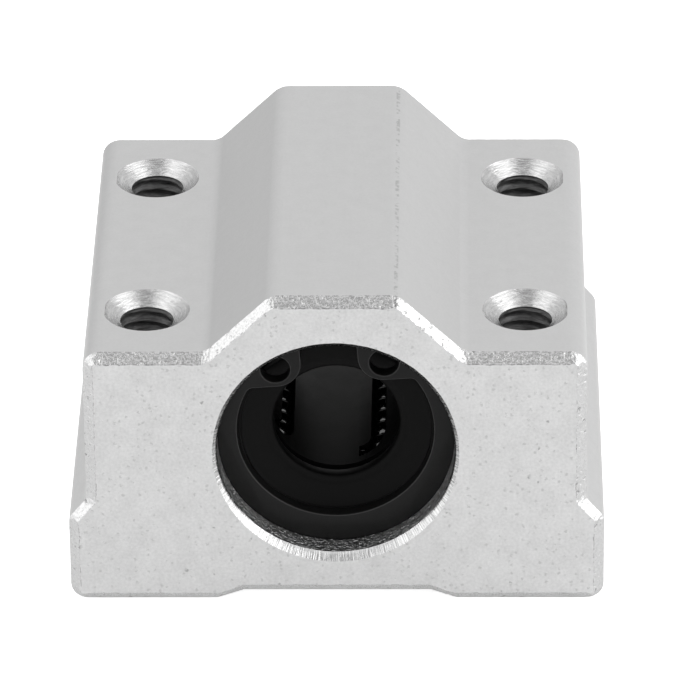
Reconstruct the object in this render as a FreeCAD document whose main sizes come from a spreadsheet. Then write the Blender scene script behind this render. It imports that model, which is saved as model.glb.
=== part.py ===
# Linear bearing block for an 8 mm shaft: an extruded and machined aluminium housing
# with a recirculating ball bearing pressed into its bore between two circlips.
#
# The origin is the middle of the underside. The shaft runs along Y, X is across the
# block and Z is up. Lengths are millimetres and angles are degrees.
#
# Inside the bearing, four loops of balls run round in a plastic cage. Each loop is a
# racetrack that lies in a plane: its load row rolls on the shaft through an open slot,
# and its return row runs back behind a closed floor in a groove of the steel sleeve.

import FreeCAD
import Part
import Sketcher
import math
import os

SIZES = {
    # Block, as seen from the end of the shaft
    "block_width": 34.0,
    "block_height": 22.0,
    "body_width": 31.7,
    "side_height": 5.95,
    "shoulder_rise": 1.4,
    "flange_height": 18.0,
    "boss_width": 7.9,
    "slope_width": 16.2,
    "recess_width": 11.9,
    "feet_gap": 15.26,
    "recess_depth": 0.6,
    # Rounded corners of the extrusion, and the chamfers at its ends
    "boss_round": 1.3,
    "valley_round": 1.0,
    "flange_round": 1.2,
    "shoulder_round": 0.8,
    "foot_round": 1.1,
    "end_chamfer": 0.58,
    # Fixing holes
    "hole_pitch_across": 24.0,
    "hole_pitch_along": 18.0,
    "hole_diameter": 3.4,
    "countersink_diameter": 5.5,
    "countersink_angle": 110.0,
    # Shaft, bearing and the bore that holds them
    "shaft_height": 11.0,
    "shaft_diameter": 8.0,
    "bearing_diameter": 15.0,
    "bearing_length": 24.0,
    "bearing_turn": 6.0,
    "bore_clearance": 0.01,
    "mouth_depth": 1.9,
    "mouth_chamfer": 0.42,
    # Circlips and their grooves
    "clip_thickness": 1.0,
    "clip_width": 2.09,
    "clip_offset": 0.52,
    "clip_gap": 3.58,
    "clip_lug_round": 1.62,
    "clip_lug_depth": 2.28,
    "clip_hole_depth": 2.65,
    "clip_hole_diameter": 1.86,
    "clip_hole_spacing": 6.88,
    "clip_corner_round": 0.5,
    "clip_turn": 4.0,
    "clip_groove_depth": 0.35,
    "clip_play": 0.05,
    # Balls and the loops they run in
    "ball_diameter": 1.5,
    "ball_gap": 0.015,
    "ball_play": 0.05,
    "loop_count": 4,
    "loop_width": 2.4,
    "loop_phase": 0.2,
    # Sleeve
    "sleeve_groove_inset": 3.25,
    "sleeve_groove_width": 1.1,
    "sleeve_groove_depth": 0.35,
    "sleeve_end_wall": 1.0,
    # Cage
    "cage_end_wall": 0.6,
    "cage_shaft_gap": 0.2,
    "cage_play": 0.1,
    "pocket_step": 0.3,
    "slot_play": 0.025,
    # Side rings and seals
    "cap_depth": 2.7,
    "cap_play": 0.05,
    "side_ring_thickness": 0.7,
    "side_ring_shaft_gap": 0.6,
    "seal_rim_width": 0.35,
    "seal_face_depth": 0.9,
    "seal_lip_width": 0.6,
    "seal_lip_depth": 0.24,
}

# How far the bore's cut reaches past the block's ends
OVERRUN = "1"

# Points nearer than this are the same point
TOLERANCE = 1e-4

# Radii and places that follow from the sizes above, as expressions over the sheet

BORE_RADIUS = "(sizes.bearing_diameter / 2 + sizes.bore_clearance)"
SLEEVE_RADIUS = "(sizes.bearing_diameter / 2)"
SHAFT_RADIUS = "(sizes.shaft_diameter / 2)"
BALL_RADIUS = "(sizes.ball_diameter / 2)"
BEARING_END = "(sizes.bearing_length / 2)"

# A circlip groove starts where the bearing ends, and holds the circlip with play on both sides
GROOVE_END = f"({BEARING_END} + sizes.clip_thickness + 2 * sizes.clip_play)"
BLOCK_END = f"({GROOVE_END} + sizes.mouth_depth)"

# The load row touches the shaft, and the raceway touches the load row
LOOP_RADIUS = f"({SHAFT_RADIUS} + {BALL_RADIUS})"
RACEWAY_RADIUS = f"({SHAFT_RADIUS} + sizes.ball_diameter)"
SLEEVE_SEAT_RADIUS = f"({SLEEVE_RADIUS} - sizes.sleeve_end_wall)"
CAP_RADIUS = f"({SLEEVE_SEAT_RADIUS} - sizes.cap_play)"

CAGE_END = f"({BEARING_END} - sizes.cap_depth)"
LOOP_HALF_STRAIGHT = f"({CAGE_END} - sizes.cage_end_wall - {BALL_RADIUS} - sizes.loop_width / 2)"
RACEWAY_END = f"({LOOP_HALF_STRAIGHT} + {BALL_RADIUS} / 3)"
SIDE_RING_START = f"({CAGE_END} + sizes.cap_play)"
SIDE_RING_END = f"({SIDE_RING_START} + sizes.side_ring_thickness)"

doc = FreeCAD.newDocument("linear_bearing_block")
sheet = doc.addObject("Spreadsheet::Sheet", "sizes")
for row, (alias, value) in enumerate(SIZES.items(), start=1):
    sheet.set(f"A{row}", alias)
    sheet.set(f"B{row}", str(value))
    sheet.setAlias(f"B{row}", alias)
doc.recompute()


def size(expression):
    """The value of an expression over the sheet's sizes, as a plain number."""
    result = sheet.evalExpression(expression)
    return float(getattr(result, "Value", result))


# Sketches: every point and radius is bound to an expression over the sheet

def new_body(label, along="0", turn="0", flip="0"):
    """A body whose own origin is on the shaft's axis, turned about it, or flipped end for end."""
    body = doc.addObject("PartDesign::Body", label)
    body.Label = label
    place = f"placement(vector(0; {along}; sizes.shaft_height); rotation({flip}; {turn}; 0))"
    body.setExpression("Placement", place)
    return body


def origin_feature(body, role):
    """One of the body's own planes or axes."""
    return next(feature for feature in body.Origin.OriginFeatures if feature.Role == role)


def new_sketch(body, name, plane, height="0"):
    """A sketch on one of the body's origin planes, moved along the plane's normal."""
    sketch = body.newObject("Sketcher::SketchObject", name)
    sketch.AttachmentSupport = (origin_feature(body, plane), [""])
    sketch.MapMode = "FlatFace"
    sketch.setExpression(".AttachmentOffset.Base.z", height)
    return sketch


def bind(sketch, constraint, expression):
    """Adds a dimension and ties it to an expression."""
    index = sketch.addConstraint(constraint)
    name = f"size_{index}"
    sketch.renameConstraint(index, name)
    sketch.setExpression(f"Constraints.{name}", expression)


def bind_point(sketch, geometry, vertex, x, y):
    """Fixes a point of the sketch by its two coordinates, each an expression or None."""
    if x is not None:
        bind(sketch, Sketcher.Constraint("DistanceX", -1, 1, geometry, vertex, size(x)), x)
    if y is not None:
        bind(sketch, Sketcher.Constraint("DistanceY", -1, 1, geometry, vertex, size(y)), y)


def add_polygon(sketch, points):
    """A closed outline of straight lines through the given points."""
    spots = [FreeCAD.Vector(size(x), size(y), 0) for x, y in points]
    lines = []
    for start, end in zip(spots, spots[1:] + spots[:1]):
        lines.append(sketch.addGeometry(Part.LineSegment(start, end)))
    for line, following in zip(lines, lines[1:] + lines[:1]):
        sketch.addConstraint(Sketcher.Constraint("Coincident", line, 2, following, 1))
    for line, (x, y) in zip(lines, points):
        bind_point(sketch, line, 1, x, y)


def add_circle(sketch, x, y, radius):
    """A circle by its centre and radius."""
    centre = FreeCAD.Vector(size(x), size(y), 0)
    circle = sketch.addGeometry(Part.Circle(centre, FreeCAD.Vector(0, 0, 1), size(radius)))
    bind(sketch, Sketcher.Constraint("Radius", circle, size(radius)), radius)
    bind_point(sketch, circle, 3, x, y)


def arc(x, y, radius, start, end):
    """An arc's geometry, anticlockwise from one angle to the other."""
    circle = Part.Circle(FreeCAD.Vector(x, y, 0), FreeCAD.Vector(0, 0, 1), radius)
    return Part.ArcOfCircle(circle, math.radians(start), math.radians(end))


def straight_line(start, end):
    """A straight line's geometry between two (x, y) points."""
    return Part.LineSegment(FreeCAD.Vector(*start, 0), FreeCAD.Vector(*end, 0))


def add_racetrack(sketch, x, half_straight, radius):
    """A closed slot outline along the sketch's Y, with its middle at x on the X axis."""
    cx, cy, r = size(x), size(half_straight), size(radius)
    far = sketch.addGeometry(arc(cx, cy, r, 0, 180))
    left = sketch.addGeometry(straight_line((cx - r, cy), (cx - r, -cy)))
    near = sketch.addGeometry(arc(cx, -cy, r, 180, 360))
    right = sketch.addGeometry(straight_line((cx + r, -cy), (cx + r, cy)))
    chain = [far, left, near, right]
    for piece, following in zip(chain, chain[1:] + chain[:1]):
        sketch.addConstraint(Sketcher.Constraint("Tangent", piece, 2, following, 1))
    bind(sketch, Sketcher.Constraint("Radius", far, r), radius)
    sketch.addConstraint(Sketcher.Constraint("Equal", far, near))
    bind_point(sketch, far, 3, x, half_straight)
    bind_point(sketch, near, 3, x, f"-({half_straight})")


def edges_at(feature, spots):
    """Names of the edges that run along Y through the given (X, Z) points."""
    names = []
    for number, edge in enumerate(feature.Shape.Edges, start=1):
        first, last = edge.Vertexes[0].Point, edge.Vertexes[-1].Point
        if math.hypot(first.x - last.x, first.z - last.z) > TOLERANCE:
            continue
        if any(math.hypot(first.x - x, first.z - z) < TOLERANCE for x, z in spots):
            names.append(f"Edge{number}")
    return names


def revolve(body, kind, name, points):
    """Turns an outline of (along the shaft, radius) points about the body's shaft axis."""
    sketch = new_sketch(body, f"{name}_profile", "YZ_Plane")
    add_polygon(sketch, points)
    turned = body.newObject(kind, name)
    turned.Profile = sketch
    turned.ReferenceAxis = (sketch, ["H_Axis"])
    turned.Angle = 360
    return turned


def round_edges(body, name, base, spots, radius):
    """Rounds the edges along the shaft that pass through the given (X, Z) points."""
    doc.recompute()
    fillet = body.newObject("PartDesign::Fillet", name)
    fillet.Base = (base, edges_at(base, spots))
    fillet.setExpression("Radius", radius)
    return fillet


def chamfer_end(body, name, base, side):
    """Chamfers the whole outline of the block's front end, side -1, or of its rear end, side 1."""
    doc.recompute()
    end = side * size(BLOCK_END)
    outline = []
    for number, edge in enumerate(base.Shape.Edges, start=1):
        ends_on_face = all(abs(vertex.Y - end) < TOLERANCE for vertex in edge.Vertexes)
        if ends_on_face and abs(edge.CenterOfMass.y - end) < TOLERANCE:
            outline.append(f"Edge{number}")
    chamfer = body.newObject("PartDesign::Chamfer", name)
    chamfer.Base = (base, outline)
    chamfer.setExpression("Size", "sizes.end_chamfer")
    return chamfer


def both_sides(x, z):
    """The same point on the right and on the left of the block, as plain numbers."""
    return [(size(x), size(z)), (-size(x), size(z))]


# Housing

def housing_outline():
    """The end view of the housing, anticlockwise, as expressions measured from the shaft's axis."""
    right_half = [
        ("sizes.recess_width / 2", "sizes.recess_depth"),
        ("sizes.feet_gap / 2", "0"),
        ("sizes.block_width / 2", "0"),
        ("sizes.block_width / 2", "sizes.side_height"),
        ("sizes.body_width / 2", "sizes.side_height + sizes.shoulder_rise"),
        ("sizes.body_width / 2", "sizes.flange_height"),
        ("sizes.slope_width / 2", "sizes.flange_height"),
        ("sizes.boss_width / 2", "sizes.block_height"),
    ]
    lowered = [(x, f"{z} - sizes.shaft_height") for x, z in right_half]
    mirrored = [(f"-({x})", z) for x, z in reversed(lowered)]
    return lowered, lowered + mirrored


def housing():
    """The aluminium block: extruded outline, rounded corners, chamfered ends, bore and fixing holes."""
    body = new_body("housing")
    right_half, outline = housing_outline()
    sketch = new_sketch(body, "end_view", "XZ_Plane")
    add_polygon(sketch, outline)
    block = body.newObject("PartDesign::Pad", "extrusion")
    block.Profile = sketch
    block.Midplane = True
    block.setExpression("Length", f"2 * {BLOCK_END}")

    foot, side, shoulder, flange, valley, boss = right_half[2:]
    last = round_edges(body, "foot_rounds", block, both_sides(*foot), "sizes.foot_round")
    shoulders = both_sides(*side) + both_sides(*shoulder)
    last = round_edges(body, "shoulder_rounds", last, shoulders, "sizes.shoulder_round")
    last = round_edges(body, "flange_rounds", last, both_sides(*flange), "sizes.flange_round")
    last = round_edges(body, "valley_rounds", last, both_sides(*valley), "sizes.valley_round")
    last = round_edges(body, "boss_rounds", last, both_sides(*boss), "sizes.boss_round")

    last = chamfer_end(body, "front_chamfer", last, -1)
    chamfer_end(body, "rear_chamfer", last, 1)
    revolve(body, "PartDesign::Groove", "bore", bore_profile())
    fixing_holes(body)
    return body


def bore_profile():
    """Half section of the bore: chamfered mouths, the bearing's seat and two circlip grooves."""
    groove_floor = f"({BORE_RADIUS} + sizes.clip_groove_depth)"
    mouth = f"({BORE_RADIUS} + sizes.mouth_chamfer)"
    front_half = [
        (f"-({BLOCK_END} + {OVERRUN})", "0"),
        (f"-({BLOCK_END} + {OVERRUN})", mouth),
        (f"-{BLOCK_END}", mouth),
        (f"-({BLOCK_END} - sizes.mouth_chamfer)", BORE_RADIUS),
        (f"-{GROOVE_END}", BORE_RADIUS),
        (f"-{GROOVE_END}", groove_floor),
        (f"-{BEARING_END}", groove_floor),
        (f"-{BEARING_END}", BORE_RADIUS),
    ]
    rear_half = [(f"-({along})", radius) for along, radius in reversed(front_half)]
    return front_half + rear_half


def fixing_holes(body):
    """Four holes through the flanges, countersunk on top."""
    top = "sizes.flange_height - sizes.shaft_height"
    sketch = new_sketch(body, "hole_places", "XY_Plane", top)
    for across in (-1, 1):
        for along in (-1, 1):
            x = f"{across} * sizes.hole_pitch_across / 2"
            y = f"{along} * sizes.hole_pitch_along / 2"
            add_circle(sketch, x, y, "sizes.hole_diameter / 2")
    doc.recompute()
    hole = body.newObject("PartDesign::Hole", "fixing_holes")
    hole.Profile = sketch
    doc.recompute()
    hole.ThreadType = "None"
    hole.DepthType = "ThroughAll"
    hole.setExpression("Diameter", "sizes.hole_diameter")
    hole.HoleCutType = "Countersink"
    hole.HoleCutCustomValues = True
    hole.setExpression("HoleCutCountersinkAngle", "sizes.countersink_angle")
    hole.setExpression("HoleCutDiameter", "sizes.countersink_diameter")


# Circlips

def circlip(label, flip, turn):
    """A circlip in its groove: a crescent band with two drilled lugs and a gap at the top."""
    middle = f"({BEARING_END} + sizes.clip_play + sizes.clip_thickness / 2)"
    along = f"-{middle}" if flip == "0" else middle
    body = new_body(label, along, turn, flip)
    sketch = new_sketch(body, f"{label}_outline", "XZ_Plane")

    outer = f"({BORE_RADIUS} + sizes.clip_groove_depth - sizes.clip_play)"
    inner = f"({outer} - sizes.clip_width + sizes.clip_offset)"
    gap = "sizes.clip_gap / 2"
    lug_x = "sizes.clip_gap / 2 + sizes.clip_lug_round"
    lug_z = f"{outer} - sizes.clip_lug_depth"
    lug_end = f"{outer} - sizes.clip_lug_depth - sizes.clip_lug_round"
    hole_z = f"{outer} - sizes.clip_hole_depth"

    gap_n, lug_x_n, lug_z_n, lug_end_n = size(gap), size(lug_x), size(lug_z), size(lug_end)
    outer_n, inner_n, offset_n = size(outer), size(inner), size("sizes.clip_offset")
    outer_z = math.sqrt(outer_n ** 2 - gap_n ** 2)
    inner_x = math.sqrt(inner_n ** 2 - (lug_end_n - offset_n) ** 2)
    outer_angle = math.degrees(math.atan2(outer_z, gap_n))
    inner_angle = math.degrees(math.atan2(lug_end_n - offset_n, inner_x))

    back = sketch.addGeometry(arc(0, 0, outer_n, 180 - outer_angle, 360 + outer_angle))
    right = [
        straight_line((gap_n, outer_z), (gap_n, lug_z_n)),
        arc(lug_x_n, lug_z_n, lug_x_n - gap_n, 180, 270),
        straight_line((lug_x_n, lug_end_n), (inner_x, lug_end_n)),
    ]
    left = [
        straight_line((-inner_x, lug_end_n), (-lug_x_n, lug_end_n)),
        arc(-lug_x_n, lug_z_n, lug_x_n - gap_n, 270, 360),
        straight_line((-gap_n, lug_z_n), (-gap_n, outer_z)),
    ]
    right_edge, right_lug, right_floor = [sketch.addGeometry(piece) for piece in right]
    front = sketch.addGeometry(arc(0, offset_n, inner_n, 180 - inner_angle, 360 + inner_angle))
    left_floor, left_lug, left_edge = [sketch.addGeometry(piece) for piece in left]
    joints = [
        (back, 2, right_edge, 1), (right_edge, 2, right_lug, 1), (right_lug, 2, right_floor, 1),
        (right_floor, 2, front, 2), (front, 1, left_floor, 1), (left_floor, 2, left_lug, 1),
        (left_lug, 2, left_edge, 1), (left_edge, 2, back, 1),
    ]
    for joint in joints:
        sketch.addConstraint(Sketcher.Constraint("Coincident", *joint))
    bind(sketch, Sketcher.Constraint("Radius", back, outer_n), outer)
    bind(sketch, Sketcher.Constraint("Radius", front, inner_n), inner)
    bind_point(sketch, back, 3, "0", "0")
    bind_point(sketch, front, 3, "0", "sizes.clip_offset")
    sides = [
        ("", right_edge, right_lug, right_floor, 2),
        ("-", left_edge, left_lug, left_floor, 1),
    ]
    for sign, edge, lug, floor, inner_vertex in sides:
        outer_vertex = 3 - inner_vertex
        bind_point(sketch, edge, outer_vertex, f"{sign}({gap})", None)
        bind_point(sketch, edge, inner_vertex, f"{sign}({gap})", lug_z)
        bind_point(sketch, lug, 3, f"{sign}({lug_x})", lug_z)
        bind_point(sketch, lug, inner_vertex, f"{sign}({lug_x})", None)
        bind_point(sketch, floor, inner_vertex, None, lug_end)
        hole_x = f"{sign}sizes.clip_hole_spacing / 2"
        add_circle(sketch, hole_x, hole_z, "sizes.clip_hole_diameter / 2")

    band = body.newObject("PartDesign::Pad", f"{label}_band")
    band.Profile = sketch
    band.Midplane = True
    band.setExpression("Length", "sizes.clip_thickness")
    doc.recompute()
    corners = [(inner_x, lug_end_n), (-inner_x, lug_end_n)]
    round_edges(body, f"{label}_corners", band, corners, "sizes.clip_corner_round")
    return body


# Bearing

def first_loop_turn():
    """How far the first loop of balls is turned about the shaft from straight up."""
    return "(180 / sizes.loop_count + sizes.bearing_turn)"


def outer_sleeve():
    """The hardened steel sleeve: two grooves outside; raceway, return grooves and end seats inside."""
    body = new_body("outer_sleeve", turn=first_loop_turn())
    groove_outside = f"({BEARING_END} - sizes.sleeve_groove_inset)"
    groove_inside = f"({groove_outside} - sizes.sleeve_groove_width)"
    groove_radius = f"({SLEEVE_RADIUS} - sizes.sleeve_groove_depth)"
    front_half = [
        (f"-{RACEWAY_END}", RACEWAY_RADIUS),
        (f"-{RACEWAY_END}", SLEEVE_SEAT_RADIUS),
        (f"-{BEARING_END}", SLEEVE_SEAT_RADIUS),
        (f"-{BEARING_END}", SLEEVE_RADIUS),
        (f"-{groove_outside}", SLEEVE_RADIUS),
        (f"-{groove_outside}", groove_radius),
        (f"-{groove_inside}", groove_radius),
        (f"-{groove_inside}", SLEEVE_RADIUS),
    ]
    rear_half = [(f"-({along})", radius) for along, radius in reversed(front_half)]
    revolve(body, "PartDesign::Revolution", "sleeve_wall", front_half + rear_half)

    sketch = new_sketch(body, "return_groove_section", "XZ_Plane")
    add_circle(sketch, "sizes.loop_width", LOOP_RADIUS, f"{BALL_RADIUS} + sizes.ball_play")
    groove = body.newObject("PartDesign::Pocket", "return_groove")
    groove.Profile = sketch
    groove.Midplane = True
    groove.setExpression("Length", f"2 * {RACEWAY_END}")
    repeat_round(body, "return_grooves", [groove])
    return body


def repeat_round(body, name, features):
    """Repeats features round the shaft, once for each loop of balls."""
    pattern = body.newObject("PartDesign::PolarPattern", name)
    pattern.Originals = features
    pattern.Axis = (origin_feature(body, "Y_Axis"), [""])
    pattern.Angle = 360
    pattern.setExpression("Occurrences", "sizes.loop_count")
    body.Tip = pattern


def ball_cage():
    """The plastic cage: a tube, thicker at its ends, with a stepped racetrack pocket for each loop."""
    body = new_body("ball_cage", turn=first_loop_turn())
    bore = f"({SHAFT_RADIUS} + sizes.cage_shaft_gap)"
    middle = f"({RACEWAY_RADIUS} - sizes.cage_play)"
    ends = f"({SLEEVE_SEAT_RADIUS} - sizes.cage_play)"
    shoulder = f"({RACEWAY_END} + sizes.cage_play)"
    front_half = [
        (f"-{CAGE_END}", bore),
        (f"-{CAGE_END}", ends),
        (f"-{shoulder}", ends),
        (f"-{shoulder}", middle),
    ]
    rear_half = [(f"-({along})", radius) for along, radius in reversed(front_half)]
    revolve(body, "PartDesign::Revolution", "cage_wall", front_half + rear_half)

    step = "sizes.pocket_step"
    ball_at_step = f"sqrt(pow({BALL_RADIUS}; 2) - pow({BALL_RADIUS} - {step}; 2))"
    pocket_half_width = f"{BALL_RADIUS} + sizes.ball_play"
    slot_half_width = f"{ball_at_step} + sizes.slot_play"
    pockets = [
        loop_pocket(body, "pocket", f"{SHAFT_RADIUS} + {step}", pocket_half_width),
        loop_pocket(body, "slot", f"{SHAFT_RADIUS} - sizes.ball_play", slot_half_width),
    ]
    repeat_round(body, "pockets", pockets)
    return body


def loop_pocket(body, name, floor, half_width):
    """Cuts a racetrack channel outwards through the cage from a flat floor at the given radius."""
    sketch = new_sketch(body, f"{name}_outline", "XY_Plane", floor)
    middle = "sizes.loop_width / 2"
    add_racetrack(sketch, middle, LOOP_HALF_STRAIGHT, f"{middle} + {half_width}")
    add_racetrack(sketch, middle, LOOP_HALF_STRAIGHT, f"{middle} - ({half_width})")
    pocket = body.newObject("PartDesign::Pocket", name)
    pocket.Profile = sketch
    pocket.Reversed = True
    pocket.setExpression("Length", SLEEVE_RADIUS)
    return pocket


def side_ring(label, flip):
    """The steel ring that closes one end of the cage."""
    body = new_body(label, flip=flip)
    bore = f"({SHAFT_RADIUS} + sizes.side_ring_shaft_gap)"
    revolve(body, "PartDesign::Revolution", f"{label}_section", [
        (f"-{SIDE_RING_START}", bore),
        (f"-{SIDE_RING_END}", bore),
        (f"-{SIDE_RING_END}", CAP_RADIUS),
        (f"-{SIDE_RING_START}", CAP_RADIUS),
    ])
    return body


def seal(label, flip):
    """A rubber end seal: a rim flush with the sleeve's end, a face sloping in, and a lip on the shaft."""
    body = new_body(label, flip=flip)
    back = f"({SIDE_RING_END} + sizes.cap_play)"
    face_end = f"({BEARING_END} - sizes.seal_face_depth)"
    revolve(body, "PartDesign::Revolution", f"{label}_section", [
        (f"-{back}", SHAFT_RADIUS),
        (f"-{back}", CAP_RADIUS),
        (f"-{BEARING_END}", CAP_RADIUS),
        (f"-{BEARING_END}", f"{CAP_RADIUS} - sizes.seal_rim_width"),
        (f"-{face_end}", f"{SHAFT_RADIUS} + sizes.seal_lip_width"),
        (f"-({face_end} - sizes.seal_lip_depth)", SHAFT_RADIUS),
    ])
    return body


# Balls

def faceted_ball(radius, meridians=6, bands=3):
    """A small ball of flat faces, with its corners on the sphere."""
    poles = [FreeCAD.Vector(0, 0, -radius), FreeCAD.Vector(0, 0, radius)]
    rings = []
    for band in range(1, bands):
        height = math.radians(180 * band / bands - 90)
        ring = []
        for step in range(meridians):
            turn = math.radians(360 * step / meridians)
            x = radius * math.cos(height) * math.cos(turn)
            y = radius * math.cos(height) * math.sin(turn)
            ring.append(FreeCAD.Vector(x, y, radius * math.sin(height)))
        rings.append(ring)
    corners = []
    for step in range(meridians):
        beside = (step + 1) % meridians
        corners.append([poles[0], rings[0][beside], rings[0][step]])
        corners.append([poles[1], rings[-1][step], rings[-1][beside]])
        for lower, upper in zip(rings, rings[1:]):
            corners.append([lower[step], lower[beside], upper[beside], upper[step]])
    faces = [Part.Face(Part.makePolygon(loop + loop[:1])) for loop in corners]
    return Part.Solid(Part.makeShell(faces))


def loop_place(distance):
    """Where a ball is after a distance round its loop, as (sideways, along), from the load row's middle."""
    straight = size(f"2 * {LOOP_HALF_STRAIGHT}")
    width = size("sizes.loop_width")
    turn = math.pi * width / 2
    distance = distance % (2 * straight + 2 * turn)
    if distance < straight:
        return 0.0, straight / 2 - distance
    distance -= straight
    if distance < turn:
        angle = distance / (width / 2)
        return width / 2 * (1 - math.cos(angle)), -straight / 2 - width / 2 * math.sin(angle)
    distance -= turn
    if distance < straight:
        return width, distance - straight / 2
    angle = (distance - straight) / (width / 2)
    return width / 2 * (1 + math.cos(angle)), straight / 2 + width / 2 * math.sin(angle)


def loop_balls():
    """The centres of one loop's balls, one pitch apart in a straight line.

    They start beside the middle of the return row, so the room that is left over is there.
    """
    pitch = size("sizes.ball_diameter + sizes.ball_gap")
    straight = size(f"2 * {LOOP_HALF_STRAIGHT}")
    turn = math.pi * size("sizes.loop_width / 2")
    whole = 2 * straight + 2 * turn
    start = straight + turn + straight / 2 + size("sizes.loop_phase")
    travelled = 0.0
    centres = [loop_place(start)]
    while True:
        low, high = travelled + pitch, travelled + 2 * pitch
        for _ in range(40):
            middle = (low + high) / 2
            if math.dist(loop_place(start + middle), centres[-1]) < pitch:
                low = middle
            else:
                high = middle
        travelled = high
        spot = loop_place(start + travelled)
        full = travelled >= whole
        if full or (travelled > whole - 2 * pitch and math.dist(spot, centres[0]) < pitch):
            return centres
        centres.append(spot)


def ball_groups():
    """Two groups of balls for each loop: those that carry load and those on their way back."""
    radius = size(BALL_RADIUS)
    height = size(LOOP_RADIUS)
    ball = faceted_ball(radius)
    centres = loop_balls()
    groups = {
        "load_balls": [spot for spot in centres if spot[0] < 1e-6],
        "return_balls": [spot for spot in centres if spot[0] >= 1e-6],
    }
    count = int(size("sizes.loop_count"))
    made = []
    for number in range(count):
        turn = size(first_loop_turn()) + 360 / count * number
        for group, spots in groups.items():
            feature = doc.addObject("Part::Feature", f"{group}_{number + 1}")
            feature.Label = f"{group}_{number + 1}"
            solids = [ball.translated(FreeCAD.Vector(across, along, height)) for across, along in spots]
            feature.Shape = Part.makeCompound(solids)
            place = FreeCAD.Vector(0, 0, size("sizes.shaft_height"))
            feature.Placement = FreeCAD.Placement(place, FreeCAD.Rotation(FreeCAD.Vector(0, 1, 0), turn))
            made.append(feature)
    return made


pieces = [
    housing(),
    circlip("circlip_front", "0", "-sizes.clip_turn"),
    circlip("circlip_rear", "180", "-sizes.clip_turn"),
    outer_sleeve(),
    ball_cage(),
    side_ring("side_ring_front", "0"),
    side_ring("side_ring_rear", "180"),
    seal("seal_front", "0"),
    seal("seal_rear", "180"),
]
doc.recompute()
pieces += ball_groups()
doc.recompute()

for item in doc.Objects:
    if "Invalid" in item.State or "Error" in item.State:
        raise RuntimeError(f"{item.Label} failed: {item.State}")
for piece in pieces:
    if piece.Shape.isNull() or not piece.Shape.isValid():
        raise RuntimeError(f"{piece.Label} has no valid shape")

os.makedirs("parts", exist_ok=True)
for piece in pieces:
    piece.Shape.exportStep(os.path.join("parts", f"{piece.Label}.step"))
    print(f"{piece.Label}: {len(piece.Shape.Solids)} solid(s), {piece.Shape.Volume:.2f} mm3")
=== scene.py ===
"""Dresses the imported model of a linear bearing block: its finishes, its light and its camera.

Every length is in metres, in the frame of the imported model. The shaft runs along Y, X is across
the block, Z is up, and the origin is the middle of the underside.
"""

import logging
import math
from collections.abc import Callable, Iterable
from dataclasses import dataclass, field
from enum import Enum

import bmesh
import bpy
from bmesh.types import BMEdge, BMesh, BMFace, BMVert
from mathutils import Matrix, Vector, geometry, noise


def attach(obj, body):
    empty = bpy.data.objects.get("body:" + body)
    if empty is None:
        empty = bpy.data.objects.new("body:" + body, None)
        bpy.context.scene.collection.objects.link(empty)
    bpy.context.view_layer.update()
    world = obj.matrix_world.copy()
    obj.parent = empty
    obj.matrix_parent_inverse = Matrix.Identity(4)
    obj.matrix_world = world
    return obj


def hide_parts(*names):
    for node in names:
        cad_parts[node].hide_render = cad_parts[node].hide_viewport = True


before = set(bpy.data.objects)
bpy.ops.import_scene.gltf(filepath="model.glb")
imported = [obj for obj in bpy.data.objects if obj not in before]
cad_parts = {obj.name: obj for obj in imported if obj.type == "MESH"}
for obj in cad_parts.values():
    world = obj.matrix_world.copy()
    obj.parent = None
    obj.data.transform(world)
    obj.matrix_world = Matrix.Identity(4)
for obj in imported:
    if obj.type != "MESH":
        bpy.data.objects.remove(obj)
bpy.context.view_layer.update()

MM = 0.001
SAME_PLACE = 0.0005 * MM
SAME_SLOPE = math.radians(0.3)
SHARP_ANGLE = math.radians(30)
ALONG = Vector((0.0, 1.0, 0.0))
UP = Vector((0.0, 0.0, 1.0))
SHAFT = (0.0, 0.0, 11.0 * MM)
HOLE = (12.0 * MM, 9.0 * MM, 0.0)
NOISE_RANGE = (0.3, 0.7)
SPECK_SHIFT = 0.35 * MM
SPECK_LEAST = 0.3
SPECK_CORE = 0.5
DARK_EDGE_MASK = "dark_edge_mask"
INSIDE_RIMS = 1
BODY = "root"

log = logging.getLogger("bearing_block")

Socket = bpy.types.NodeSocket
Outputs = bpy.types.bpy_prop_collection
Colour = tuple[float, float, float]
Point = tuple[float, float]


def grey(value: float) -> Colour:
    """A neutral colour of the given linear value."""
    return (value, value, value)


# Node wiring

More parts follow.
